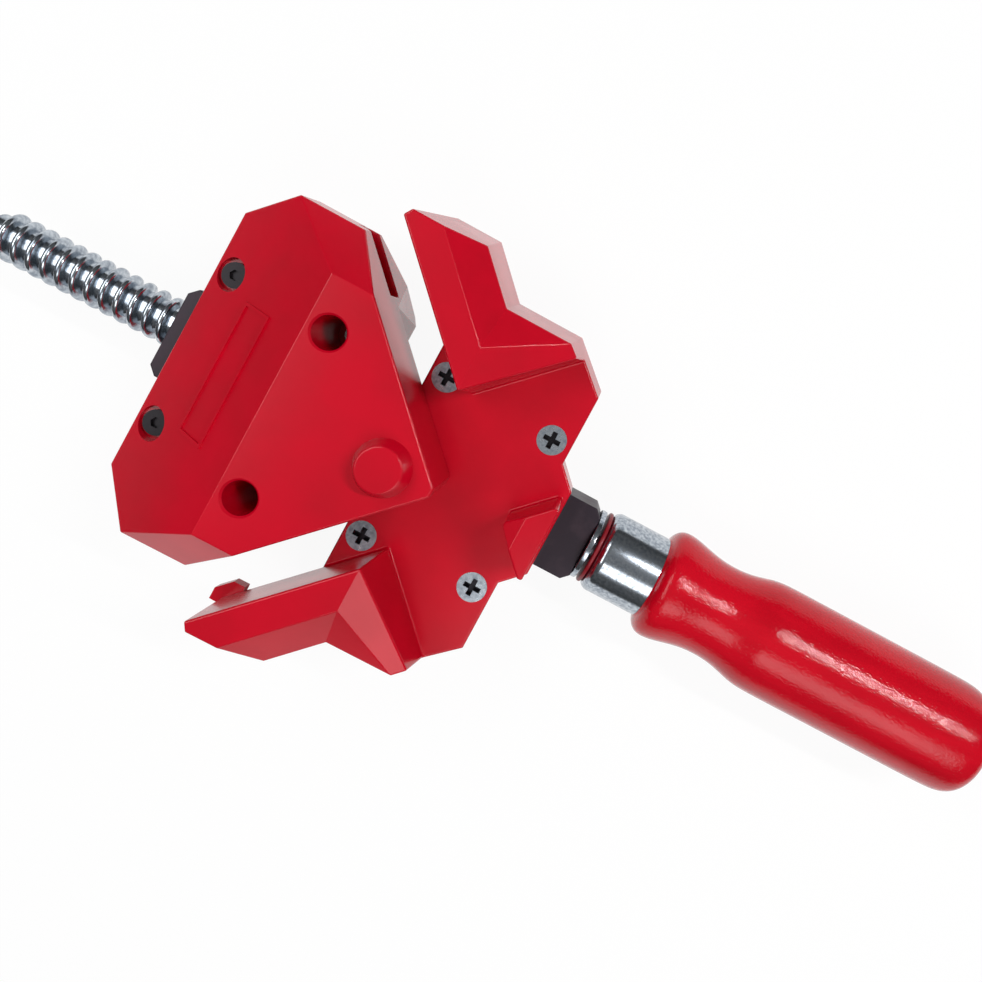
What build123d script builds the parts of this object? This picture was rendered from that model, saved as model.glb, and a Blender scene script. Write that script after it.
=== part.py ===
from build123d import *
import math
import os

# A corner clamp for gluing and welding frames square. A cast body carries a right-angled pair
# of arms, and a cast head with a matching nose is drawn into them by a screw. Both the screw's
# thrust block and its nut turn on upright pins, so two boards of unlike thickness are held.
# X runs along the spindle towards the handle, Y across it, and Z is up from the bench. Heights
# below are counted from the spindle's axis, and the finished pieces are lifted at the end.

# Heights of the body, from the spindle's axis
axis_height = 21.0
plate_top = 15.8
arm_top = 40.2
arm_edge = 31.7
body_parting = 3.0

# Plan of the body
plate_front = 42.2
body_rear = 14.6
wing_x = 7.9
wing_y = 44.5
arm_reach = 64.9
tip_rise = 3.2
tip_bevel = 2.0
shoulder_drop = 12.6
arm_top_width = 9.7
arm_base_width = 19.2
ramp_start = 28.6
ramp_end = 7.1
ramp_foot = 54.5
foot_setback = 2.0
lower_inset = 5.5
lower_seat = 1.5

# How far the foot of each outer wall stands out from its top edge
tip_flare = 5.4
outer_flare = 2.0
shoulder_flare = 3.4
wing_flare = 1.2

# Square nose at the corner of the V
wedge_top = 36.5
wedge_tip = 33.5
wedge_nose = 0.8
wedge_crease = 5.7
wedge_side = 11.6
wedge_rear = 13.1

# Rest at the tip of each arm
lug_length = 11.5
lug_pass = 3.9
lug_taper = 2.7
lug_waist = 0.9
lug_reach = 3.6
lug_depth = 3.8

# Walls of the castings
wall = 3.5
plate_thickness = 4.0
floor_thickness = 4.0
edge_radius = 0.7
rib_thickness = 4.0

# Screws that join the two halves of the body
body_screw_head_radius = 4.75
body_screw_head_depth = 2.6
body_screw_radius = 2.5
body_screw_length = 22.0
body_screw_boss = 6.5
rear_screw_x = 1.3
rear_screw_y = 26.2
front_screw_x = 36.4
front_screw_y = 28.0
recess_width = 1.6
recess_span = 5.6
recess_depth = 2.2

# Head of the clamp
head_top = 42.4
head_back_rise = 18.4
ride_gap = 0.5
jaw_front = 19.6
nose_flat = 1.4
ridge_side = 41.1
head_side = 55.9
side_draft = 1.0
tip_back = 96.6
head_back = 112.3
back_side = 43.2
ridge_x = 73.6
lower_front = 59.5
head_ground_gap = 0.6
tip_bottom = 6.8
keel_side = 37.5
back_bevel = 8.0
corner_bevel_drop = 28.0
corner_bevel_side = 7.3
corner_bevel_front = 4.0
slot_depth = 6.0
slot_inner = 42.5
slot_top = 21.3
slot_gap = 0.5
head_wall = 4.0
boss_x = 36.2
boss_base_radius = 8.5
boss_top_radius = 6.6
boss_height = 5.0

# Holes of the head
mount_hole_x = 66.8
mount_hole_y = 26.1
mount_well_radius = 5.0
mount_hole_radius = 3.3
mount_hole_chamfer = 0.6
head_screw_x = 105.7
head_screw_y = 25.2
head_screw_hole_radius = 5.3
head_screw_floor = 1.8
head_screw_head_radius = 4.0
head_screw_head_height = 1.8
head_screw_radius = 2.5
head_screw_length = 22.0
hex_key_width = 3.0
hex_key_depth = 1.2
hole_boss = 3.5

# Bare frame for a name plate on the sloping back
plate_x = 90.1
plate_width = 12.0
plate_length = 42.4
plate_rim = 1.0
plate_rise = 0.5

# Spindle
spindle_radius = 8.0
thread_pitch = 5.0
thread_depth = 2.1
thread_crest = 1.7
thread_root = 3.5
thread_sink = 0.35
spindle_end = 187.0
spindle_tip_length = 4.0
spindle_tip_radius = 3.9
thread_runout = 5.0
journal_radius = 6.0
journal_end = 102.0

# Thrust block, its pins and washers
pivot_x = 7.5
block_front = 8.5
block_rear = 27.2
block_half_width = 12.8
block_half_height = 8.5
block_chamfer = 2.4
block_edge_radius = 0.5
block_pin_radius = 5.0
block_pin_seat = 1.8
block_pin_reach = 6.5
washer_thickness = 1.6
inner_washer_radius = 9.0
collar_thickness = 1.9
collar_radius = 12.0
neck_gap = 0.9
ring_thickness = 1.3
ring_radius = 12.4

# Nut block and its pins
nut_pivot_x = 101.0
nut_length = 33.0
nut_standout = 6.7
nut_half_width = 15.2
nut_half_height = 12.0
nut_chamfer = 2.7
nut_pin_radius = 5.0
nut_pin_seat = 2.6
nut_upper_reach = 9.0
nut_lower_reach = 5.0

# Handle
ferrule_radius = 13.8
ferrule_wall = 1.3
ferrule_length = 20.8
ferrule_round = 3.0
grip_length = 124.0
grip_radius = 18.8
grip_station_shares = (0.0, 0.021, 0.037, 0.07, 0.118, 0.159, 0.19, 0.231, 0.277, 0.311, 0.354,
                       0.385, 0.5, 0.65, 0.8, 0.91, 0.94, 0.978)
grip_radius_shares = (0.815, 0.963, 0.984, 0.963, 0.888, 0.842, 0.833, 0.848, 0.91, 0.979, 0.997,
                      1.0, 1.0, 1.0, 1.0, 1.0, 0.975, 0.83)
grip_end_share = 0.425

# Fits
running_gap = 0.05
press_gap = 0.02
washer_gap = 0.1
swing_gap = 1.0
block_gap = 0.5
channel_gap = 3.5
overrun = 1.0

root_two = math.sqrt(2)
ride_level = plate_top + ride_gap
arm_side = arm_reach + tip_rise
shoulder_side = arm_side - shoulder_drop
head_parting = ride_level
bench = -axis_height
head_bottom = bench + head_ground_gap


def mirrored(half):
    """A closed plan outline from the points of its +Y half."""
    return half + [(x, -y) for x, y in reversed(half)]


def plan(points, level):
    """A flat face with the given plan points at one height."""
    return Pos(0, 0, level) * make_face(Polyline(*points, close=True))


def prism(points, low, high, inset=0.0):
    """A plan outline, drawn in by inset, raised from low to high."""
    face = plan(points, low)
    if inset:
        face = offset(face, amount=-inset, kind=Kind.INTERSECTION)
    return extrude(face, amount=high - low, dir=(0, 0, 1))


def under(shape, a, b, c, drop=0.0):
    """What lies below the plane through three points, lowered square to itself by drop."""
    a, b, c = Vector(*a), Vector(*b), Vector(*c)
    normal = (b - a).cross(c - a).normalized()
    if normal.Z < 0:
        normal = normal * -1
    return split(shape, bisect_by=Plane(origin=a - normal * drop, z_dir=normal), keep=Keep.BOTTOM)


def over(shape, a, b, c, rise=0.0):
    """What lies above the plane through three points, raised square to itself by rise."""
    a, b, c = Vector(*a), Vector(*b), Vector(*c)
    normal = (b - a).cross(c - a).normalized()
    if normal.Z < 0:
        normal = normal * -1
    return split(shape, bisect_by=Plane(origin=a + normal * rise, z_dir=normal), keep=Keep.TOP)


def both(shape):
    """A piece and its mirror image across the spindle."""
    return shape + mirror(shape, about=Plane.XZ)


def soften(form, level, keep_above=True):
    """Rounds every edge of a casting except those in its parting plane."""
    side = 1 if keep_above else -1
    edges = [edge for edge in form.edges() if (edge.center().Z - level) * side > edge_radius / 2]
    return fillet(edges, radius=edge_radius)


def post(x, y, radius, low, high):
    """An upright cylinder."""
    return Pos(x, y, low) * Cylinder(radius, high - low, align=(Align.CENTER, Align.CENTER, Align.MIN))


def rod(radius, start, end):
    """A cylinder along the spindle's axis."""
    lying = Rot(0, 90, 0) * Cylinder(radius, end - start, align=(Align.CENTER, Align.CENTER, Align.MIN))
    return Pos(start, 0, 0) * lying


def block(x_low, x_high, half_width, low, high):
    """A box centred across the spindle."""
    size_x, size_z = x_high - x_low, high - low
    solid = Box(size_x, half_width * 2, size_z, align=(Align.MIN, Align.CENTER, Align.MIN))
    return Pos(x_low, 0, low) * solid


# Plan points of the body's +Y side, named after the corners that they stand for
tip_inner = (-arm_reach, arm_reach)
tip_outer = (-arm_reach + tip_bevel, arm_side)
top_outer_tip = (-(arm_side - arm_top_width * root_two), arm_side)
edge_tip = (-(arm_side - arm_base_width * root_two), arm_side)
edge_inner = (-(shoulder_side - arm_base_width * root_two), shoulder_side)
edge_end = (-ramp_end, shoulder_side)
top_outer = (-ramp_start, ramp_start + arm_top_width * root_two)
top_inner = (-ramp_start, ramp_start)
tip_wall = arm_side + tip_flare
shoulder_wall = shoulder_side + shoulder_flare
outer_foot = (arm_base_width + outer_flare) * root_two
tip_outer_foot = (-arm_reach + tip_bevel * (1 + tip_flare / tip_rise), tip_wall)
edge_tip_foot = (-(tip_wall - outer_foot), tip_wall)
edge_inner_foot = (-(shoulder_wall - outer_foot), shoulder_wall)
edge_end_foot = (-ramp_end + wing_flare, shoulder_wall)
wing_foot = (wing_x, wing_y + shoulder_flare)
wing_front = (wing_x, wing_y)
wing_rear = (wing_x, body_rear * 2 - wing_x)
rear_corner = (body_rear, body_rear)
front_corner = (-plate_front, plate_front)

# The arm and the shoulder meet under the crease between their slopes, and each runs past it
crease_run = (edge_inner[0] - top_outer[0]) / (edge_inner[1] - top_outer[1])
arm_join = (edge_inner[0] + crease_run * shoulder_flare, shoulder_wall)
shoulder_join = (edge_inner_foot[0] - shoulder_flare, shoulder_wall)
body_half = [rear_corner, wing_rear, wing_front, edge_end, edge_inner, edge_tip, tip_outer,
             tip_inner, front_corner]
body_plan = mirrored(body_half)
arm_plan = [tip_inner, tip_outer_foot, edge_tip_foot, edge_inner_foot, arm_join, top_outer,
            top_inner]
shoulder_plan = [top_inner, top_outer, shoulder_join, edge_end_foot, wing_foot, wing_rear, (0, 0)]


def raised(point, level):
    """A plan point at a height."""
    return (point[0], point[1], level)


def arm_form(inset=0.0):
    """The long arm: a flat top, one slope down to the outer wall, and flared walls."""
    form = prism(arm_plan, body_parting, arm_top - inset, inset)
    form = under(form, raised(top_outer_tip, arm_top), raised(top_outer, arm_top),
                 raised(edge_inner, arm_edge), inset)
    form = under(form, raised(edge_tip, arm_edge), raised(edge_inner, arm_edge),
                 raised(edge_inner_foot, body_parting), inset)
    middle = (arm_top + arm_edge) / 2
    return under(form, raised(tip_outer, middle), raised(edge_tip, middle),
                 raised(edge_tip_foot, body_parting), inset)


def flared(form, inset=0.0):
    """The outer walls of the shoulder, which stand out towards their foot."""
    form = under(form, raised(edge_inner, arm_edge), raised(edge_end, arm_edge),
                 raised(edge_end_foot, body_parting), inset)
    return under(form, raised(edge_end, arm_edge), raised(wing_front, plate_top),
                 raised(edge_end_foot, body_parting), inset)


def shoulder_form(inset=0.0):
    """The shoulder where the arm runs down into the plate."""
    form = flared(prism(shoulder_plan, body_parting, arm_top - inset, inset), inset)
    form = under(form, raised(top_outer, arm_top), raised(edge_inner, arm_edge),
                 raised(edge_end, arm_edge), inset)
    form = under(form, raised(top_outer, arm_top), raised(top_inner, arm_top),
                 raised(edge_end, arm_edge), inset)
    crest = ramp_start * 2
    return under(form, (-crest, 0, arm_top), (0, crest, arm_top), (-ramp_foot, 0, plate_top), inset)


def along_arm(distance, depth):
    """A plan point by its distance along the arm's face and its depth behind that face."""
    return (-(distance - depth) / root_two, (distance + depth) / root_two)


def foot_relief():
    """The strip under the arm's face, beyond the plate, that stands back from it."""
    start, end = plate_front * root_two, arm_reach * root_two + overrun * 2
    strip = [along_arm(start, -overrun), along_arm(end, -overrun),
             along_arm(end, foot_setback), along_arm(start, foot_setback)]
    return prism(strip, body_parting - overrun, plate_top)


def lug_form():
    """The small rest at the arm's tip that carries the end of a board level with the plate."""
    end = arm_reach * root_two + lug_pass
    start = end - lug_length
    corners = [along_arm(end - lug_taper, foot_setback), along_arm(end, -lug_waist),
               along_arm(end - lug_taper, -lug_reach), along_arm(start + lug_taper, -lug_reach),
               along_arm(start, -lug_waist), along_arm(start + lug_taper, foot_setback)]
    return prism(corners, plate_top - lug_depth, plate_top)


def wedge_form():
    """The square nose at the corner of the V, with a slope at its point."""
    corners = mirrored([(wedge_nose, wedge_nose), (wedge_side, wedge_side),
                        (wedge_rear, wedge_side)])
    form = prism(corners, plate_top, wedge_top)
    return under(form, (wedge_nose, 0, wedge_tip), (wedge_nose, wedge_side, wedge_tip),
                 (wedge_crease, 0, wedge_top))


screw_places = [(rear_screw_x, rear_screw_y), (-front_screw_x, front_screw_y),
                (rear_screw_x, -rear_screw_y), (-front_screw_x, -front_screw_y)]
block_bay = (-block_front - block_gap * 2, body_rear)
bay_half = block_half_width + swing_gap
channel_half = spindle_radius + channel_gap
channel_rise = spindle_radius + running_gap + block_gap * 2


def bay_walls(low, high):
    """The thick part of each half round the thrust block."""
    return block(block_bay[0] - wall, body_rear, bay_half + wall, low, high)


def bay_space():
    """The room for the thrust block, open at the back, and for the spindle in front of it."""
    bay = block(block_bay[0], body_rear + overrun, bay_half,
                -block_half_height - block_gap, block_half_height + block_gap)
    way = block(-plate_front - overrun, block_bay[0] + overrun, channel_half,
                -channel_rise, channel_rise)
    return bay + way


def block_pin_bore():
    reach = block_half_height + block_pin_reach + block_gap
    return post(pivot_x, 0, block_pin_radius + running_gap, -reach, reach)


def body_upper_casting():
    arms = both(arm_form() + shoulder_form())
    base = both(flared(prism(shoulder_plan, body_parting, plate_top)))
    form = prism(body_plan, body_parting, plate_top) + base + arms + wedge_form()
    form = soften(form - both(foot_relief()), body_parting) + both(lug_form())
    hollow = prism(body_plan, body_parting - overrun, plate_top - plate_thickness, wall)
    hollow = hollow + both(arm_form(wall) + shoulder_form(wall))
    hollow = hollow & prism(body_plan, body_parting - overrun, arm_top, lower_inset + lower_seat)
    hollow = hollow - bay_walls(body_parting - overrun, plate_top)
    for x, y in screw_places:
        hollow = hollow - post(x, y, body_screw_boss, body_parting - overrun, arm_top)
    form = form - hollow - bay_space() - block_pin_bore()
    for x, y in screw_places:
        form = form - post(x, y, body_screw_radius + running_gap, body_parting - overrun, plate_top)
        form = form - countersink(x, y)
    return form


def countersink(x, y):
    head = Cone(body_screw_radius, body_screw_head_radius + running_gap, body_screw_head_depth,
                align=(Align.CENTER, Align.CENTER, Align.MAX))
    return Pos(x, y, plate_top) * head


def body_lower_casting():
    form = soften(prism(body_plan, bench, body_parting, lower_inset), body_parting, False)
    hollow = prism(body_plan, bench + floor_thickness, body_parting + overrun, lower_inset + wall)
    hollow = hollow - bay_walls(bench, body_parting + overrun)
    for x, y in screw_places:
        hollow = hollow - post(x, y, body_screw_boss, bench, body_parting + overrun)
    form = form - hollow - bay_space() - block_pin_bore()
    for x, y in screw_places:
        form = form - post(x, y, body_screw_radius + running_gap,
                           plate_top - body_screw_length - overrun, body_parting)
    return form


def body_screw(x, y):
    """A countersunk screw with a cross recess."""
    head = Pos(x, y, plate_top) * Cone(body_screw_radius, body_screw_head_radius,
                                       body_screw_head_depth,
                                       align=(Align.CENTER, Align.CENTER, Align.MAX))
    screw = head + post(x, y, body_screw_radius, plate_top - body_screw_length, plate_top)
    for turn in (0, 90):
        bar = Rot(0, 0, turn) * Box(recess_span, recess_width, recess_depth,
                                    align=(Align.CENTER, Align.CENTER, Align.MAX))
        screw = screw - Pos(x, y, plate_top) * bar
    return screw


# Plan points of the head's +Y side
nose = (-(jaw_front + nose_flat), nose_flat)
jaw_ridge = (-(jaw_front + ridge_side), ridge_side)
jaw_tip = (-(jaw_front + head_side), head_side)
head_foot = head_side + side_draft
jaw_foot = (-(jaw_front + head_foot), head_foot)
back_run = (head_back - tip_back) / (head_side - back_side)
back_foot = (-(tip_back - side_draft * back_run), head_foot)
back_corner = (-head_back, back_side)
back_slope = (head_top - head_back_rise) / (head_back - ridge_x)
head_edge = head_top - back_slope * (tip_back - ridge_x)
head_plan = mirrored([nose, jaw_foot, back_foot, back_corner])
lower_corner = (-lower_front, lower_front - jaw_front)
lower_plan = mirrored([lower_corner, jaw_foot, back_foot, back_corner])
mount_holes = [(-mount_hole_x, mount_hole_y), (-mount_hole_x, -mount_hole_y)]
head_screws = [(-head_screw_x, head_screw_y), (-head_screw_x, -head_screw_y)]
head_screw_seat = head_parting + head_screw_floor


def head_form(inset=0.0):
    """The house-shaped upper half of the head."""
    low = head_parting - (overrun if inset else 0)
    form = prism(head_plan, low, head_top - inset, inset)
    form = under(form, (-ridge_x, 0, head_top), (-ridge_x, head_side, head_top),
                 (-head_back, 0, head_back_rise), inset)
    for side in (1, -1):
        form = under(form, (-ridge_x, ridge_side * side, head_top),
                     (jaw_ridge[0], ridge_side * side, head_top),
                     (jaw_tip[0], head_side * side, head_edge), inset)
        form = under(form, (-ridge_x, head_side * side, head_edge),
                     (-head_back, head_side * side, head_edge),
                     (-ridge_x, head_foot * side, head_parting), inset)
    return form


def keel_form(inset=0.0):
    """The lower half of the head, hull-shaped underneath."""
    bottom = head_bottom + (floor_thickness if inset else 0)
    form = prism(lower_plan, bottom, head_parting + (overrun if inset else 0), inset)
    for side in (1, -1):
        form = over(form, (-ridge_x, head_side * side, tip_bottom),
                    (-head_back, head_side * side, tip_bottom),
                    (-ridge_x, keel_side * side, head_bottom), inset)
        top = (lower_corner[0], lower_corner[1] * side, head_parting)
        jaw = (lower_corner[0] - corner_bevel_side, (lower_corner[1] + corner_bevel_side) * side,
               head_parting - corner_bevel_drop)
        front = (lower_corner[0], (lower_corner[1] - corner_bevel_front) * side,
                 head_parting - corner_bevel_drop)
        form = over(form, top, jaw, front, inset)
    bevel_top = head_bottom + back_bevel
    return over(form, (-head_back, 0, bevel_top), (-head_back, head_side, bevel_top),
                (-head_back + back_bevel, 0, head_bottom), inset)


slot_low = plate_top - lug_depth - slot_gap


def slot_space(depth, low, high):
    """The notch in each jaw's tip that passes over the rest on the arm."""
    back = depth / root_two
    outer = head_foot + overrun
    corners = [(-(jaw_front + slot_inner) + overrun, slot_inner + overrun),
               (-(jaw_front + outer) + overrun, outer + overrun),
               (-(jaw_front + outer) - back, outer - back),
               (-(jaw_front + slot_inner) - back, slot_inner - back)]
    return prism(corners, low, high)


nut_rear = -(head_back + nut_standout)
nut_front = nut_rear + nut_length
nut_bay = (-head_back, nut_front + swing_gap)
nut_bay_half = nut_half_width + swing_gap


def nut_walls(low, high):
    return block(nut_bay[0], nut_bay[1] + head_wall, nut_bay_half + head_wall, low, high)


def nut_space():
    """The room for the nut block, open at the back, and for the spindle in front of it."""
    bay = block(nut_bay[0] - overrun, nut_bay[1], nut_bay_half,
                -nut_half_height - block_gap, nut_half_height + block_gap)
    way = block(nut_bay[1] - overrun, -lower_front + overrun, spindle_radius + channel_gap,
                -channel_rise, channel_rise)
    return bay + way


def nut_pin_bore():
    low = -nut_half_height - nut_lower_reach - block_gap
    high = nut_half_height + nut_upper_reach + block_gap
    return post(-nut_pivot_x, 0, nut_pin_radius + running_gap, low, high)


def back_height(distance):
    """Height of the sloping back at one distance behind the origin."""
    return head_top - back_slope * (distance - ridge_x)


def name_frame():
    """A thin raised rim on the sloping back that stays empty."""
    tilt = math.hypot(1, back_slope)
    normal = (-back_slope / tilt, 0, 1 / tilt)
    face = Plane(origin=(-plate_x, 0, back_height(plate_x)), x_dir=(0, 1, 0), z_dir=normal)
    rim = Rectangle(plate_length, plate_width) - Rectangle(plate_length - plate_rim * 2,
                                                           plate_width - plate_rim * 2)
    raised_rim = extrude(face * rim, amount=plate_rise)
    return raised_rim + extrude(face * rim, amount=-plate_rise)


def head_upper_casting():
    form = head_form()
    form = soften(form - both(slot_space(slot_depth, slot_low, slot_top)), head_parting)
    hollow = head_form(head_wall) - nut_walls(0, head_top)
    rib = rib_thickness / 2
    hollow = hollow - block(nut_bay[1], 0, rib, 0, head_top)
    hollow = hollow - both(slot_space(slot_depth + head_wall, slot_low, slot_top + head_wall))
    hollow = hollow - block(-lower_front - head_wall, 0, head_side, 0, head_top)
    for x, y in mount_holes:
        hollow = hollow - post(x, y, mount_well_radius + hole_boss, 0, head_top)
    for x, y in head_screws:
        hollow = hollow - post(x, y, head_screw_hole_radius + hole_boss, 0, head_top)
    form = form - hollow - nut_pin_bore()
    crown = Pos(-boss_x, 0, head_top) * Cone(boss_base_radius, boss_top_radius, boss_height,
                                            align=(Align.CENTER, Align.CENTER, Align.MIN))
    crown = fillet(crown.edges().group_by(Axis.Z)[-1], radius=edge_radius)
    form = form + crown + name_frame()
    flare = Cone(mount_well_radius, mount_well_radius + mount_hole_chamfer, mount_hole_chamfer,
                 align=(Align.CENTER, Align.CENTER, Align.MAX))
    for x, y in mount_holes:
        form = form - post(x, y, mount_well_radius, head_parting - overrun, head_top + overrun)
        form = form - Pos(x, y, head_top) * flare
    for x, y in head_screws:
        form = form - post(x, y, head_screw_hole_radius, head_screw_seat, head_top)
        form = form - post(x, y, head_screw_radius + running_gap, head_parting - overrun, head_top)
    return form


def head_lower_casting():
    high = head_parting + overrun
    form = soften(keel_form() - both(slot_space(slot_depth, slot_low, high)), head_parting, False)
    hollow = keel_form(head_wall) - nut_walls(bench, high)
    hollow = hollow - both(slot_space(slot_depth + head_wall, slot_low - head_wall, high))
    for x, y in mount_holes:
        hollow = hollow - post(x, y, mount_well_radius + hole_boss, bench, high)
    for x, y in head_screws:
        hollow = hollow - post(x, y, head_screw_hole_radius + hole_boss, bench, high)
    form = form - hollow - nut_space() - nut_pin_bore()
    for x, y in mount_holes:
        form = form - post(x, y, mount_hole_radius, bench, high)
    for x, y in head_screws:
        form = form - post(x, y, head_screw_radius + running_gap,
                           head_screw_seat - head_screw_length - overrun, high)
    return form


def head_screw(x, y):
    """A low socket-head screw, deep in its hole."""
    screw = post(x, y, head_screw_head_radius, head_screw_seat,
                 head_screw_seat + head_screw_head_height)
    screw = screw + post(x, y, head_screw_radius, head_screw_seat - head_screw_length,
                         head_screw_seat)
    key = RegularPolygon(hex_key_width / 2, 6, major_radius=False)
    top = head_screw_seat + head_screw_head_height
    return screw - extrude(Pos(x, y, top) * key, amount=-hex_key_depth)


def thread_ridge(start, stop, core_radius):
    """The thread alone: a trapezoid swept along a right-handed helix."""
    path = Helix(pitch=thread_pitch, height=stop - start, radius=core_radius,
                 center=(start, 0, 0), direction=(1, 0, 0))
    first = path @ 0
    radial = Vector(0, first.Y, first.Z).normalized()
    section_plane = Plane(origin=first, x_dir=radial, z_dir=radial.cross(Vector(1, 0, 0)))
    root, crest = thread_root / 2, thread_crest / 2
    profile = Polyline((-thread_sink, -root), (thread_depth, -crest), (thread_depth, crest),
                       (-thread_sink, root), close=True)
    return sweep(section_plane * make_face(profile), path=path, is_frenet=True)


def spindle():
    """The screw: a rolled trapezoidal thread, and a plain journal that the handle sits on."""
    shoulder = -block_front - washer_thickness - washer_gap * 2
    start, stop = -spindle_end + spindle_tip_length, shoulder - thread_runout
    core_radius = spindle_radius - thread_depth
    tip = Cone(spindle_tip_radius, core_radius, spindle_tip_length,
               align=(Align.CENTER, Align.CENTER, Align.MIN))
    core = rod(core_radius, start, stop) + Pos(-spindle_end, 0, 0) * Rot(0, 90, 0) * tip
    screw = core + thread_ridge(start + thread_root, stop - thread_root, core_radius)
    return screw + rod(spindle_radius, stop, shoulder) + rod(journal_radius, shoulder, journal_end)


def thrust_block():
    """The black block that takes the screw's pull and swings on two pins."""
    low, high = -block_front, block_rear
    corners = mirrored([(low, block_half_width), (high - block_chamfer, block_half_width),
                        (high, block_half_width - block_chamfer)])
    form = prism(corners, -block_half_height, block_half_height)
    form = fillet(form.edges(), radius=block_edge_radius)
    form = form - rod(journal_radius + running_gap, low - overrun, high + overrun)
    for side in (1, -1):
        seat = (block_half_height - block_pin_seat) * side
        face = block_half_height * side
        form = form - post(pivot_x, 0, block_pin_radius + press_gap, min(seat, face), max(seat, face))
    return form


def upright_pin(x, radius, seat, half_height, reach, side):
    """A pin pressed into the top or bottom of a block."""
    ends = ((half_height - seat) * side, (half_height + reach) * side)
    return post(x, 0, radius, min(ends), max(ends))


def nut_block():
    """The black nut block that the head turns on."""
    corners = mirrored([(nut_front, nut_half_width), (nut_rear + nut_chamfer, nut_half_width),
                        (nut_rear, nut_half_width - nut_chamfer)])
    form = prism(corners, -nut_half_height, nut_half_height)
    form = fillet(form.edges(), radius=block_edge_radius)
    form = form - rod(spindle_radius + running_gap, nut_rear - overrun, nut_front + overrun)
    for side in (1, -1):
        seat = (nut_half_height - nut_pin_seat) * side
        face = nut_half_height * side
        form = form - post(-nut_pivot_x, 0, nut_pin_radius + press_gap, min(seat, face),
                           max(seat, face))
    return form


collar_start = block_rear + washer_gap
ring_start = collar_start + collar_thickness + neck_gap
ferrule_start = ring_start + ring_thickness + washer_gap
ferrule_end = ferrule_start + ferrule_length


def washer(start, thickness, radius):
    return rod(radius, start, start + thickness) - rod(journal_radius + press_gap, start - overrun,
                                                       start + thickness + overrun)


def handle_ferrule():
    """A pressed steel cap round the neck of the grip."""
    shell = rod(ferrule_radius, ferrule_start, ferrule_end)
    shell = fillet(shell.edges().group_by(Axis.X)[0], radius=ferrule_round)
    shell = shell - rod(ferrule_radius - ferrule_wall, ferrule_start + ferrule_wall,
                        ferrule_end + overrun)
    return shell - rod(journal_radius + press_gap, ferrule_start - overrun, ferrule_end)


def handle_grip():
    """The turned wooden grip, with a tenon inside the ferrule."""
    start = ferrule_end + washer_gap
    end = start + grip_length
    stations = [(start + along * grip_length, out * grip_radius)
                for along, out in zip(grip_station_shares, grip_radius_shares)]
    side = Spline(*stations)
    last = stations[-1]
    cap = Spline(last, (end, grip_radius * grip_end_share), tangents=[side % 1, (0, -1)])
    close = Polyline((end, grip_radius * grip_end_share), (end, 0), (start, 0), stations[0])
    body = revolve(make_face(side + cap + close), axis=Axis.X)
    tenon = rod(ferrule_radius - ferrule_wall - press_gap, ferrule_start + ferrule_wall * 2, start)
    return body + tenon - rod(journal_radius + press_gap, ferrule_start, journal_end + overrun)


def build():
    """Every piece under its node's name."""
    pieces = {
        "body_upper_casting": body_upper_casting(),
        "body_lower_casting": body_lower_casting(),
        "thrust_block": thrust_block(),
        "spindle": spindle(),
        "inner_thrust_washer": washer(-block_front - washer_gap - washer_thickness,
                                      washer_thickness, inner_washer_radius),
        "thrust_collar": washer(collar_start, collar_thickness, collar_radius),
        "neck_ring": washer(ring_start, ring_thickness, ring_radius),
        "handle_ferrule": handle_ferrule(),
        "handle_grip": handle_grip(),
        "nut_block": nut_block(),
        "head_upper_casting": head_upper_casting(),
        "head_lower_casting": head_lower_casting(),
    }
    for side, word in ((1, "left"), (-1, "right")):
        pieces["rear_body_screw_" + word] = body_screw(rear_screw_x, rear_screw_y * side)
        pieces["front_body_screw_" + word] = body_screw(-front_screw_x, front_screw_y * side)
        pieces["head_screw_" + word] = head_screw(-head_screw_x, head_screw_y * side)
    for side, word, reach in ((1, "upper", nut_upper_reach), (-1, "lower", nut_lower_reach)):
        pieces["thrust_" + word + "_pin"] = upright_pin(
            pivot_x, block_pin_radius, block_pin_seat, block_half_height, block_pin_reach, side)
        pieces["nut_" + word + "_pin"] = upright_pin(
            -nut_pivot_x, nut_pin_radius, nut_pin_seat, nut_half_height, reach, side)
    return pieces


os.makedirs("parts", exist_ok=True)
for node, shape in build().items():
    export_step(Pos(0, 0, axis_height) * shape, "parts/" + node + ".step")
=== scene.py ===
# %% [markdown]
# A corner clamp in red cast metal: a body with two arms at a right angle, a head that a screw
# draws into them, and a lacquered wooden handle. The castings, blocks and small screws come
# ready-made from the frame and only need their finishes. The threaded spindle, the handle and
# the bright rings round it are turned pieces, so here they are spun from their profiles.

# %% The frame
import math

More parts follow.
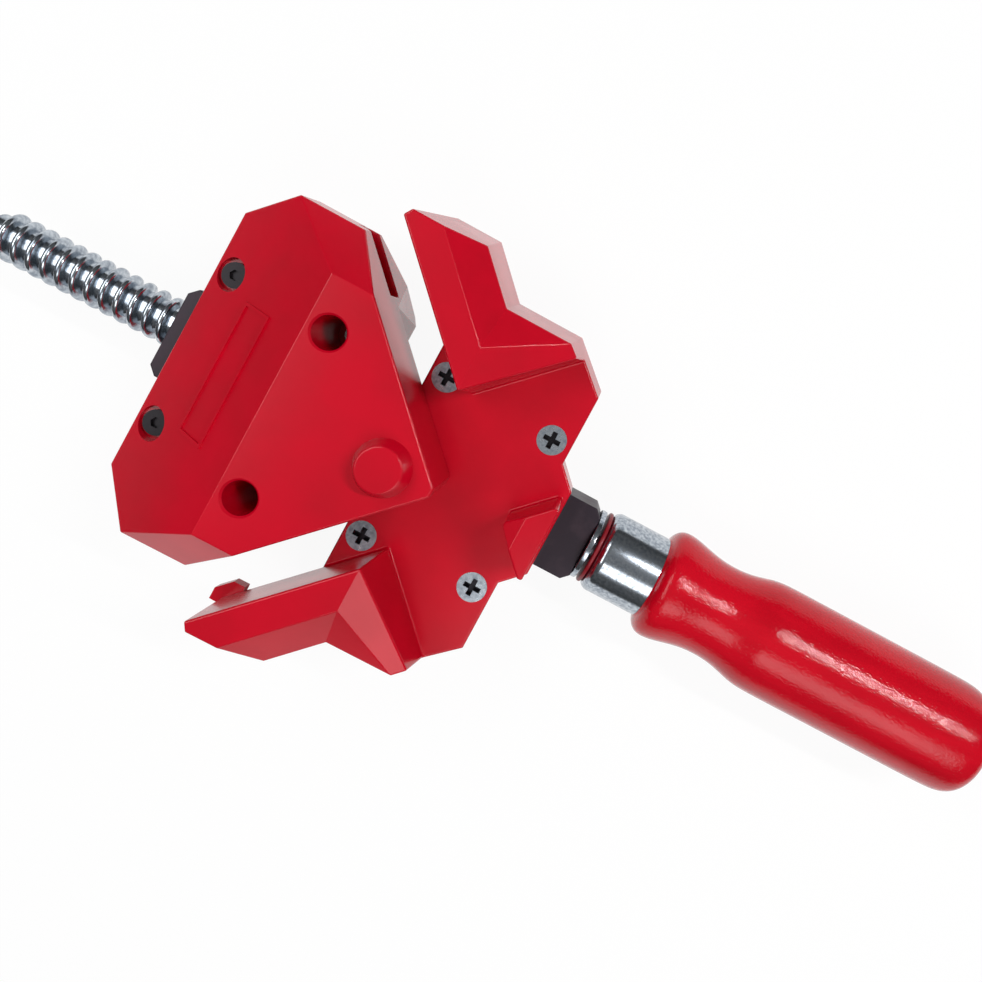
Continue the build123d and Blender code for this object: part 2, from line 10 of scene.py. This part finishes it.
import bmesh
import bpy
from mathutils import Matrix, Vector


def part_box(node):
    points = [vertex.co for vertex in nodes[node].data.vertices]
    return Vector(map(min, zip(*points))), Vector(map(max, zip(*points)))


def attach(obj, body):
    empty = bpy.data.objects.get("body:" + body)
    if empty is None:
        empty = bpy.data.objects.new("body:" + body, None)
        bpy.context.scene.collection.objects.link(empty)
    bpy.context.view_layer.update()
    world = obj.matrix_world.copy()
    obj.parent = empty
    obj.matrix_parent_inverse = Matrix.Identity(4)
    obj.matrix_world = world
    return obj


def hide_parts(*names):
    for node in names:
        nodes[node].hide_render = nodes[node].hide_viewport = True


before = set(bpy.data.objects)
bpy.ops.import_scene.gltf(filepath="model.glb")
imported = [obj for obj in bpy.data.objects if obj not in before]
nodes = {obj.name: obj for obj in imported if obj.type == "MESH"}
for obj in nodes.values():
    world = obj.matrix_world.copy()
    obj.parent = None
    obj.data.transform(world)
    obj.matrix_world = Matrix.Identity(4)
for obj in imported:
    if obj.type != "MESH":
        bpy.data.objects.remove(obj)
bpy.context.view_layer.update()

# %% [markdown]
# The picture was taken from almost straight above with a camera that was pointed a little to one
# side. The camera's place was found by matching the corners of both castings, and it is written
# in metres and degrees. The shift gives the picture's own framing, and the lens is found from the
# focal length in pixels.

# %% Camera
PICTURE_WIDTH = 982
FOCAL_PIXELS = 840.4
OPTICAL_CENTRE = (633.85, 391.8)
AXIS_HEIGHT = 0.021
SENSOR = 36.0

camera_data = bpy.data.cameras.new("camera")
camera_data.sensor_width = SENSOR
camera_data.lens = FOCAL_PIXELS / PICTURE_WIDTH * SENSOR
camera_data.shift_x = (PICTURE_WIDTH / 2 - OPTICAL_CENTRE[0]) / PICTURE_WIDTH
camera_data.shift_y = (OPTICAL_CENTRE[1] - PICTURE_WIDTH / 2) / PICTURE_WIDTH
camera = bpy.data.objects.new("camera", camera_data)
camera.location = (0.0025, 0.0556, 0.2778 + AXIS_HEIGHT)
camera.rotation_euler = [math.radians(turn) for turn in (-2.2173, -2.2905, 28.6349)]
bpy.context.scene.collection.objects.link(camera)
bpy.context.scene.camera = camera
print("lens", round(camera_data.lens, 2), "mm")

# %% [markdown]
# A material is a small network of nodes. Writing it node by node hides the idea, so two small
# classes do the wiring. A Wire wraps one socket and takes Python's own signs, and a Finish makes
# any other node from its type, its settings and what goes into its sockets.


# %% Wires and finishes
class Wire:
    """A socket that takes part in sums."""

    def __init__(self, finish, socket):
        self.finish = finish
        self.socket = socket

    def __add__(self, other):
        return self.finish.maths("ADD", self, other)

    __radd__ = __add__

    def __mul__(self, other):
        return self.finish.maths("MULTIPLY", self, other)

    __rmul__ = __mul__

    def __lt__(self, other):
        return self.finish.maths("LESS_THAN", self, other)


class Finish:
    """One material, with the shader that every finish here ends in."""

    def __init__(self, name):
        self.material = bpy.data.materials.new(name)
        self.material.use_nodes = True
        self.tree = self.material.node_tree
        self.shader = self.tree.nodes["Principled BSDF"]
        place = self.tree.nodes.new("ShaderNodeTexCoord")
        self.place = Wire(self, place.outputs["Object"])

    def put(self, made, name, value):
        """Gives one socket a link or a plain value."""
        if isinstance(value, Wire):
            self.tree.links.new(value.socket, made.inputs[name])
        else:
            made.inputs[name].default_value = value

    def node(self, kind, settings=None, sockets=None, output=0):
        """Any node, by its type, its settings and its sockets."""
        made = self.tree.nodes.new(kind)
        for name, value in (settings or {}).items():
            if name == "stops":
                self.set_stops(made.color_ramp, value)
            else:
                setattr(made, name, value)
        for name, value in (sockets or {}).items():
            self.put(made, name, value)
        return Wire(self, made.outputs[output])

    def set_stops(self, ramp, stops):
        while len(ramp.elements) < len(stops):
            ramp.elements.new(0.5)
        for element, (position, value) in zip(ramp.elements, stops):
            element.position = position
            element.color = (value, value, value, 1)

    def maths(self, operation, first, second):
        return self.node("ShaderNodeMath", {"operation": operation}, {0: first, 1: second})

    def noise(self, scale, detail=2.0, roughness=0.5, place=None):
        sockets = {"Vector": place or self.place, "Scale": scale, "Detail": detail,
                   "Roughness": roughness}
        return self.node("ShaderNodeTexNoise", {}, sockets)

    def stretched(self, scale):
        """The object's own coordinates, stretched along its axes."""
        return self.node("ShaderNodeMapping", {}, {"Vector": self.place, "Scale": scale})

    def ramp(self, factor, stops):
        return self.node("ShaderNodeValToRGB", {"stops": stops}, {"Fac": factor})

    def blend(self, factor, first, second):
        made = self.tree.nodes.new("ShaderNodeMix")
        made.data_type = "RGBA"
        self.put(made, 0, factor)
        self.put(made, 6, first)
        self.put(made, 7, second)
        return Wire(self, made.outputs[2])

    def bump(self, height, strength, distance):
        sockets = {"Height": height, "Strength": strength, "Distance": distance}
        return self.node("ShaderNodeBump", {}, sockets)

    def set(self, **values):
        for name, value in values.items():
            self.put(self.shader, name.replace("_", " ").title().replace("Ior", "IOR"), value)
        return self.material


def colour(red, green, blue):
    """A colour as it is seen on the screen, from 0 to 255, turned into the shader's own scale."""
    return [(value / 255 / 12.92 if value <= 10 else ((value / 255 + 0.055) / 1.055) ** 2.4)
            for value in (red, green, blue)] + [1.0]


print("a mid grey is", round(colour(128, 128, 128)[0], 3), "on the shader's own scale")

# %% [markdown]
# Both castings carry a glossy red powder coat. It is thick and smooth, with a fine orange peel
# that shows only in the gloss, and a very slight unevenness in its colour. The peel is a bump
# from two noises about a millimetre across.

# %% Red powder coat
COAT_RED = colour(200, 4, 34)
COAT_DEEP = colour(186, 2, 29)
PEEL_SCALE = 900
PEEL_RELIEF = 0.00005
CLOUD_SCALE = 45


def make_powder_coat():
    coat = Finish("red_powder_coat")
    cloud = coat.ramp(coat.noise(CLOUD_SCALE, 3), [(0.35, 0.0), (0.7, 1.0)])
    peel = coat.noise(PEEL_SCALE, 1) + coat.noise(PEEL_SCALE / 3, 1) * 0.6
    return coat.set(base_color=coat.blend(cloud, COAT_RED, COAT_DEEP),
                    roughness=0.2 + cloud * 0.05, coat_weight=0.12, coat_roughness=0.05,
                    specular_ior_level=0.28, normal=coat.bump(peel, 0.16, PEEL_RELIEF))


powder_coat = make_powder_coat()
print("finish:", powder_coat.name)

# %% [markdown]
# The thrust block and the nut block are phosphated steel. The finish is nearly black with a
# purple cast and a dull satin, a little cloudy where the phosphate took unevenly.

# %% Black phosphated steel
PHOSPHATE = colour(38, 26, 38)
PHOSPHATE_WORN = colour(58, 44, 54)
FINE_RELIEF = 0.00003


def make_phosphate():
    black = Finish("black_phosphate")
    cloud = black.ramp(black.noise(160, 4), [(0.45, 0.0), (0.75, 1.0)])
    grain = black.noise(2600, 2)
    return black.set(base_color=black.blend(cloud, PHOSPHATE, PHOSPHATE_WORN), metallic=0.35,
                     roughness=0.42 + cloud * 0.12, normal=black.bump(grain, 0.2, FINE_RELIEF))


phosphate = make_phosphate()
print("finish:", phosphate.name)

# %% [markdown]
# Zinc plating is bright and faintly blue. On the rolled spindle it is a little mottled, so its
# roughness changes from place to place, and the thread picks up dark and light at every turn. The
# cross recesses of the small screws get painted shade: their finish is painted dark a little
# below their heads.

# %% Zinc plating
ZINC = colour(196, 203, 210)
ZINC_GREY = colour(138, 147, 158)
# Painted shade: the dark grey painted into the screws' recesses.
PAINTED_RECESS_SHADE_GREY = colour(52, 50, 54)
RECESS_DEPTH = 0.0004


def make_zinc(name, base_roughness, mottle_scale, recess_level=None):
    """Plating, with painted shade, a dark colour, in whatever lies more than a little below the
    recess level.
    """
    zinc = Finish(name)
    mottle = zinc.ramp(zinc.noise(mottle_scale, 5, 0.6), [(0.35, 0.0), (0.65, 1.0)])
    scratch = zinc.noise(1400, 3)
    shade = zinc.blend(mottle, ZINC, ZINC_GREY)
    if recess_level is not None:
        height = zinc.node("ShaderNodeSeparateXYZ", {}, {"Vector": zinc.place}, output=2)
        # Painted shade: whatever lies below the recess level is coloured dark grey as shade.
        painted_recess_shade = height < recess_level - RECESS_DEPTH
        shade = zinc.blend(painted_recess_shade, shade, PAINTED_RECESS_SHADE_GREY)
    return zinc.set(base_color=shade, metallic=1.0,
                    roughness=base_roughness + mottle * 0.12,
                    normal=zinc.bump(scratch, 0.15, FINE_RELIEF))


screw_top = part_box("rear_body_screw_left")[1][2]
spindle_zinc = make_zinc("spindle_zinc", 0.14, 420)
screw_zinc = make_zinc("screw_zinc", 0.26, 700, screw_top)
ferrule_zinc = make_zinc("ferrule_zinc", 0.12, 900)
print("finishes:", spindle_zinc.name, screw_zinc.name, ferrule_zinc.name)

# %% [markdown]
# The grip is turned beech under several coats of red lacquer. The lacquer is smooth enough for a
# clear highlight, but the pores and turning marks below still show as fine relief. They break the
# narrow highlight of the main light into a speckled line and leave a wide one whole.

# %% Red lacquer
LACQUER = colour(202, 8, 32)
LACQUER_DEEP = colour(178, 2, 24)
GRAIN_SCALE = 60
PORE_SCALE = 1100
LACQUER_RELIEF = 0.00014


def make_lacquer():
    lacquer = Finish("red_lacquer")
    grain = lacquer.noise(GRAIN_SCALE, 4, 0.55, lacquer.stretched((0.35, 1.6, 1.6)))
    pores = lacquer.noise(PORE_SCALE, 2, 0.6, lacquer.stretched((0.8, 1.2, 1.2)))
    depth = lacquer.ramp(grain, [(0.4, 0.0), (0.75, 1.0)])
    relief = grain * 0.3 + pores
    return lacquer.set(base_color=lacquer.blend(depth, LACQUER, LACQUER_DEEP),
                       roughness=0.1 + depth * 0.04, specular_ior_level=0.3,
                       normal=lacquer.bump(relief, 0.8, LACQUER_RELIEF))


lacquer = make_lacquer()
print("finish:", lacquer.name)

# %% [markdown]
# Two small finishes are left: the thin red plastic ring behind the ferrule, and the black oxide
# of the two socket screws deep in the head.

# %% Red plastic and black oxide
PLASTIC = colour(150, 12, 30)
PLASTIC_DEEP = colour(120, 8, 24)
OXIDE = colour(26, 24, 28)
OXIDE_WORN = colour(44, 40, 44)


def make_ring_plastic():
    plastic = Finish("red_plastic")
    haze = plastic.noise(800, 2)
    return plastic.set(base_color=plastic.blend(haze, PLASTIC, PLASTIC_DEEP),
                       roughness=0.35 + haze * 0.1, normal=plastic.bump(haze, 0.1, FINE_RELIEF))


def make_oxide():
    oxide = Finish("black_oxide")
    haze = oxide.noise(1500, 3)
    return oxide.set(base_color=oxide.blend(haze, OXIDE, OXIDE_WORN), metallic=0.6,
                     roughness=0.38 + haze * 0.1, normal=oxide.bump(haze, 0.2, FINE_RELIEF))


ring_plastic = make_ring_plastic()
oxide = make_oxide()
print("finishes:", ring_plastic.name, oxide.name)

# %% [markdown]
# The ready-made pieces take their finishes by name. Small screws and pins keep the plain zinc,
# with its painted recess shade.

# %% Finishes for the ready-made pieces
node_finish = {
    "body_upper_casting": powder_coat, "body_lower_casting": powder_coat,
    "head_upper_casting": powder_coat, "head_lower_casting": powder_coat,
    "thrust_block": phosphate, "nut_block": phosphate,
    "head_screw_left": oxide, "head_screw_right": oxide,
}


def dress(piece, finish):
    """Gives a piece one finish in place of what it had."""
    piece.data.materials.clear()
    piece.data.materials.append(finish)


for node_name, node in nodes.items():
    dress(node, node_finish.get(node_name, screw_zinc))
print("dressed", len(nodes), "ready-made pieces")

# %% [markdown]
# Everything on the spindle is turned, so one helper spins a profile about the spindle's axis. A
# profile is a list of places along the axis with their radii. A solid piece starts and ends on
# the axis, and a ring closes on itself. Single corners are then rounded with a bevel, as a lathe
# tool or a press would leave them.

# %% A lathe
MERGE = 1e-7
SHARP_ANGLE = math.radians(38)
LATHE_STEPS = 96
MM = 0.001


def lathe(profile, closed=False, steps=LATHE_STEPS):
    """A bmesh spun once round the spindle's axis."""
    form = bmesh.new()
    points = [form.verts.new((along, 0, AXIS_HEIGHT + radius)) for along, radius in profile]
    pairs = list(zip(points, points[1:])) + ([(points[-1], points[0])] if closed else [])
    edges = [form.edges.new(pair) for pair in pairs]
    bmesh.ops.spin(form, geom=points + edges, cent=(0, 0, AXIS_HEIGHT), axis=(1, 0, 0),
                   angle=math.tau, steps=steps, use_merge=True)
    bmesh.ops.remove_doubles(form, verts=form.verts, dist=MERGE)
    bmesh.ops.recalc_face_normals(form, faces=form.faces)
    return form


def radius_of(vert):
    return math.hypot(vert.co.y, vert.co.z - AXIS_HEIGHT)


def round_corner(form, along, radius, size, segments=5):
    """Bevels the ring of edges at one corner of the profile."""
    near = MERGE * 100
    ring = [edge for edge in form.edges
            if all(abs(vert.co.x - along) < near and abs(radius_of(vert) - radius) < near
                   for vert in edge.verts)]
    bmesh.ops.bevel(form, geom=ring, offset=size, offset_type="OFFSET", segments=segments,
                    profile=0.5, affect="EDGES", material=-1)


def finish_piece(name, form, finish, replaced, body="screw"):
    """Turns a bmesh into a piece that rides on a body and stands for its ready-made node."""
    mesh = bpy.data.meshes.new(name)
    form.to_mesh(mesh)
    form.free()
    mesh.shade_smooth()
    mesh.set_sharp_from_angle(angle=SHARP_ANGLE)
    piece = bpy.data.objects.new(name, mesh)
    bpy.context.scene.collection.objects.link(piece)
    dress(piece, finish)
    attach(piece, body)
    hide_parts(replaced)
    print(name, len(mesh.polygons), "faces")
    return piece


def span(node_name):
    """Where a turned node starts and ends along the axis, and its radius."""
    low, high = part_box(node_name)
    return low[0], high[0], (high[2] - low[2]) / 2


print("lathe ready, with", LATHE_STEPS, "steps a turn")

# %% [markdown]
# The spindle is a rolled trapezoidal thread. Its ridge is a small closed section that is carried
# round and along at once: spin takes a step along the axis for each turn step, which gives a
# helix. The crest is narrow and rounded, because rolling leaves it so, and the end is chamfered.

# %% Spindle
THREAD_PITCH = 5 * MM
THREAD_STEPS = 40
CORE_RADIUS = 5.7 * MM
JOURNAL_RADIUS = 6 * MM
THREAD_STOP = -15.3 * MM
SHOULDER_STOP = -10.3 * MM
TIP_RADIUS = 3.9 * MM
TIP_SLOPE = 1.0
RIDGE_SHARES = ((-0.35, -0.08), (-0.2, 0.72), (-0.15, 0.9), (-0.07, 0.985), (0, 1.0),
                (0.07, 0.985), (0.15, 0.9), (0.2, 0.72), (0.35, -0.08))

spindle_start, spindle_stop, spindle_radius = span("spindle")


def tip_limit(along):
    """The largest radius that the chamfered end leaves at one place."""
    return TIP_RADIUS + (along - spindle_start) * TIP_SLOPE


def make_thread():
    depth = spindle_radius - CORE_RADIUS
    start = spindle_start + THREAD_PITCH / 2
    turns = (THREAD_STOP - start) / THREAD_PITCH
    form = bmesh.new()
    points = [form.verts.new((start + along * THREAD_PITCH, 0,
                              AXIS_HEIGHT + CORE_RADIUS + out * depth))
              for along, out in RIDGE_SHARES]
    edges = [form.edges.new(pair) for pair in zip(points, points[1:] + points[:1])]
    bmesh.ops.spin(form, geom=points + edges, cent=(0, 0, AXIS_HEIGHT), axis=(1, 0, 0),
                   dvec=(THREAD_PITCH / THREAD_STEPS, 0, 0), angle=math.tau * turns,
                   steps=round(turns * THREAD_STEPS))
    bmesh.ops.holes_fill(form, edges=form.edges, sides=0)
    for vert in form.verts:
        radius = radius_of(vert)
        limit = tip_limit(vert.co.x)
        if radius > limit:
            vert.co.y *= limit / radius
            vert.co.z = AXIS_HEIGHT + (vert.co.z - AXIS_HEIGHT) * limit / radius
    bmesh.ops.recalc_face_normals(form, faces=form.faces)
    return form, turns


thread, thread_turns = make_thread()
thread_mesh = bpy.data.meshes.new("thread")
thread.to_mesh(thread_mesh)
thread.free()
core_end = spindle_start + (CORE_RADIUS - TIP_RADIUS) / TIP_SLOPE
core = lathe([(spindle_start, 0), (spindle_start, TIP_RADIUS), (core_end, CORE_RADIUS),
              (THREAD_STOP, CORE_RADIUS), (THREAD_STOP, spindle_radius),
              (SHOULDER_STOP, spindle_radius), (SHOULDER_STOP, JOURNAL_RADIUS),
              (spindle_stop, JOURNAL_RADIUS), (spindle_stop, 0)])
core.from_mesh(thread_mesh)
bpy.data.meshes.remove(thread_mesh)
finish_piece("threaded_spindle", core, spindle_zinc, "spindle")
print("thread turns", round(thread_turns, 1))

# %% [markdown]
# Behind the black thrust block come a thin bright collar and a thin red ring. Both are plain
# rings with rounded rims, and the light catches the rims first.

# %% Collar and neck ring
COLLAR_ROUND = 0.35 * MM
RING_ROUND = 0.56 * MM
PRESS_GAP = 0.02 * MM
BORE_RADIUS = JOURNAL_RADIUS + PRESS_GAP


def ring_profile(start, stop, radius):
    return [(start, BORE_RADIUS), (start, radius), (stop, radius), (stop, BORE_RADIUS)]


def make_ring(name, finish, node_name, rim):
    start, stop, radius = span(node_name)
    form = lathe(ring_profile(start, stop, radius), closed=True)
    for along in (start, stop):
        round_corner(form, along, radius, rim)
    return finish_piece(name, form, finish, node_name)


make_ring("bright_collar", ferrule_zinc, "thrust_collar", COLLAR_ROUND)
make_ring("red_neck_ring", ring_plastic, "neck_ring", RING_ROUND)

# %% [markdown]
# The ferrule is a steel cup pressed over the neck of the grip. Its front edge is drawn round a
# wide radius and its rear rim is turned in a little against the wood.

# %% Ferrule
FERRULE_WALL = 1.3 * MM
FERRULE_ROUND = 3 * MM
FERRULE_ROUND_STEPS = 10
FERRULE_RIM = 0.5 * MM
FERRULE_RIM_STEPS = 4

ferrule_start, ferrule_stop, ferrule_radius = span("handle_ferrule")
ferrule_inner = ferrule_radius - FERRULE_WALL
ferrule = lathe([(ferrule_start, BORE_RADIUS), (ferrule_start, ferrule_radius),
                 (ferrule_stop, ferrule_radius), (ferrule_stop, ferrule_inner),
                 (ferrule_start + FERRULE_WALL, ferrule_inner),
                 (ferrule_start + FERRULE_WALL, BORE_RADIUS)], closed=True)
round_corner(ferrule, ferrule_start, ferrule_radius, FERRULE_ROUND, FERRULE_ROUND_STEPS)
round_corner(ferrule, ferrule_stop, ferrule_radius, FERRULE_RIM, FERRULE_RIM_STEPS)
finish_piece("bright_ferrule", ferrule, ferrule_zinc, "handle_ferrule")

# %% [markdown]
# The grip is one turned form: a bulb against the ferrule, a waist for the thumb, and a long
# straight barrel with a rounded end. The profile has one point wherever the turner changed
# direction, and subdivision rounds it, as sanding and lacquer do. A tenon and a bore go with it.

# %% Grip
GRIP_SHARES = ((0.0, 0.80), (0.012, 0.93), (0.031, 0.99), (0.067, 0.97), (0.113, 0.892),
               (0.154, 0.84), (0.195, 0.828), (0.238, 0.85), (0.279, 0.915), (0.313, 0.982),
               (0.354, 1.0), (0.41, 1.0), (0.55, 1.0), (0.75, 1.0), (0.90, 1.0), (0.945, 0.985),
               (0.975, 0.90), (0.994, 0.70), (1.0, 0.40), (1.0, 0.15), (1.0, 0.0))
GRIP_STEPS = 48
GRIP_GAP = 0.1 * MM
BORE_END_GAP = MM
SMOOTHING_LEVELS = 2

_, grip_stop, grip_radius = span("handle_grip")
grip_start = ferrule_stop + GRIP_GAP
tenon_start = ferrule_start + FERRULE_WALL * 2
bore_stop = spindle_stop + BORE_END_GAP
grip_length = grip_stop - grip_start
outline = [(grip_start + along * grip_length, out * grip_radius) for along, out in GRIP_SHARES]
tenon_radius = ferrule_inner - GRIP_GAP
grip = lathe([(bore_stop, 0), (bore_stop, BORE_RADIUS), (tenon_start, BORE_RADIUS),
              (tenon_start, tenon_radius), (grip_start, tenon_radius)] + outline,
             steps=GRIP_STEPS)
grip_piece = finish_piece("lacquered_grip", grip, lacquer, "handle_grip")
smoothing = grip_piece.modifiers.new("smoothing", "SUBSURF")
smoothing.levels = SMOOTHING_LEVELS
smoothing.render_levels = SMOOTHING_LEVELS
print("grip", round(grip_length / MM, 1), "mm long")

# %% [markdown]
# On white paper under a dim ceiling, flat faces keep their deep red and steep faces pick up the
# white of the paper. A narrow strong strip on the far side is the main light and draws the white
# line on the handle. A wide weak panel on the near side draws the broad pale one, and another
# lights the back of the head. The paper is white to the camera and in reflections, and it keeps
# the object's shadow.

# %% Ground and light
PAPER_SIZE = 6.0
PAPER_WHITE = (0.92, 0.92, 0.92, 1)
PAPER_ROUGHNESS = 0.9
SEEN_SHARE = 0.93


def make_paper():
    paper = Finish("paper")
    paper.set(base_color=PAPER_WHITE, roughness=PAPER_ROUGHNESS)
    path = paper.tree.nodes.new("ShaderNodeLightPath")
    seen = Wire(paper, path.outputs["Is Camera Ray"])
    for ray in ("Is Glossy Ray", "Is Transmission Ray"):
        seen = paper.maths("MAXIMUM", seen, Wire(paper, path.outputs[ray]))
    glow = paper.tree.nodes.new("ShaderNodeEmission")
    mixed = paper.tree.nodes.new("ShaderNodeMixShader")
    paper.put(mixed, 0, seen * SEEN_SHARE)
    paper.tree.links.new(paper.shader.outputs[0], mixed.inputs[1])
    paper.tree.links.new(glow.outputs[0], mixed.inputs[2])
    paper.tree.links.new(mixed.outputs[0], paper.tree.nodes["Material Output"].inputs[0])
    return paper.material


sheet = bmesh.new()
bmesh.ops.create_grid(sheet, x_segments=1, y_segments=1, size=PAPER_SIZE / 2)
paper_mesh = bpy.data.meshes.new("paper")
sheet.to_mesh(paper_mesh)
sheet.free()
paper = bpy.data.objects.new("paper", paper_mesh)
paper_mesh.materials.append(make_paper())
bpy.context.scene.collection.objects.link(paper)

SKY_STOPS = ((0.0, 0.05), (0.12, 0.05), (0.3, 0.12), (0.6, 0.12), (0.85, 0.2), (1.0, 0.26))


def make_sky():
    """White to the camera, and dark at the horizon and dim above for everything else."""
    sky = bpy.data.worlds.new("studio")
    bpy.context.scene.world = sky
    sky.use_nodes = True
    tree = sky.node_tree
    back = tree.nodes["Background"]
    place = tree.nodes.new("ShaderNodeTexCoord")
    parts = tree.nodes.new("ShaderNodeSeparateXYZ")
    height = tree.nodes.new("ShaderNodeValToRGB")
    while len(height.color_ramp.elements) < len(SKY_STOPS):
        height.color_ramp.elements.new(0.5)
    for element, (position, value) in zip(height.color_ramp.elements, SKY_STOPS):
        element.position = position
        element.color = (value, value, value, 1)
    path = tree.nodes.new("ShaderNodeLightPath")
    mixed = tree.nodes.new("ShaderNodeMix")
    mixed.data_type = "RGBA"
    mixed.inputs[7].default_value = (1, 1, 1, 1)
    tree.links.new(place.outputs["Generated"], parts.inputs[0])
    tree.links.new(parts.outputs["Z"], height.inputs[0])
    tree.links.new(path.outputs["Is Camera Ray"], mixed.inputs[0])
    tree.links.new(height.outputs[0], mixed.inputs[6])
    tree.links.new(mixed.outputs[2], back.inputs["Color"])


make_sky()


def panel_light(name, place, length, width, power):
    """A rectangular light that lies along the spindle's direction and faces its axis."""
    lamp = bpy.data.lights.new(name, "AREA")
    lamp.shape = "RECTANGLE"
    lamp.size = length
    lamp.size_y = width
    lamp.energy = power
    holder = bpy.data.objects.new(name, lamp)
    holder.location = place
    turn = math.atan2(place[1], place[2] - AXIS_HEIGHT)
    holder.rotation_euler = (-turn, 0, 0)
    bpy.context.scene.collection.objects.link(holder)


# name: place, length, width and power
PANELS = {
    "near_panel": ((0.40, -0.44, 0.80), 0.70, 0.42, 3.0),
    "far_strip": ((0.49, 0.43, 0.78), 0.50, 0.035, 5.2),
    "back_panel": ((-0.62, 0.12, 0.75), 0.50, 0.90, 5.2),
}
for panel_name, panel in PANELS.items():
    panel_light(panel_name, *panel)
print("lights:", ", ".join(PANELS))

bpy.context.scene.view_settings.view_transform = "Standard"
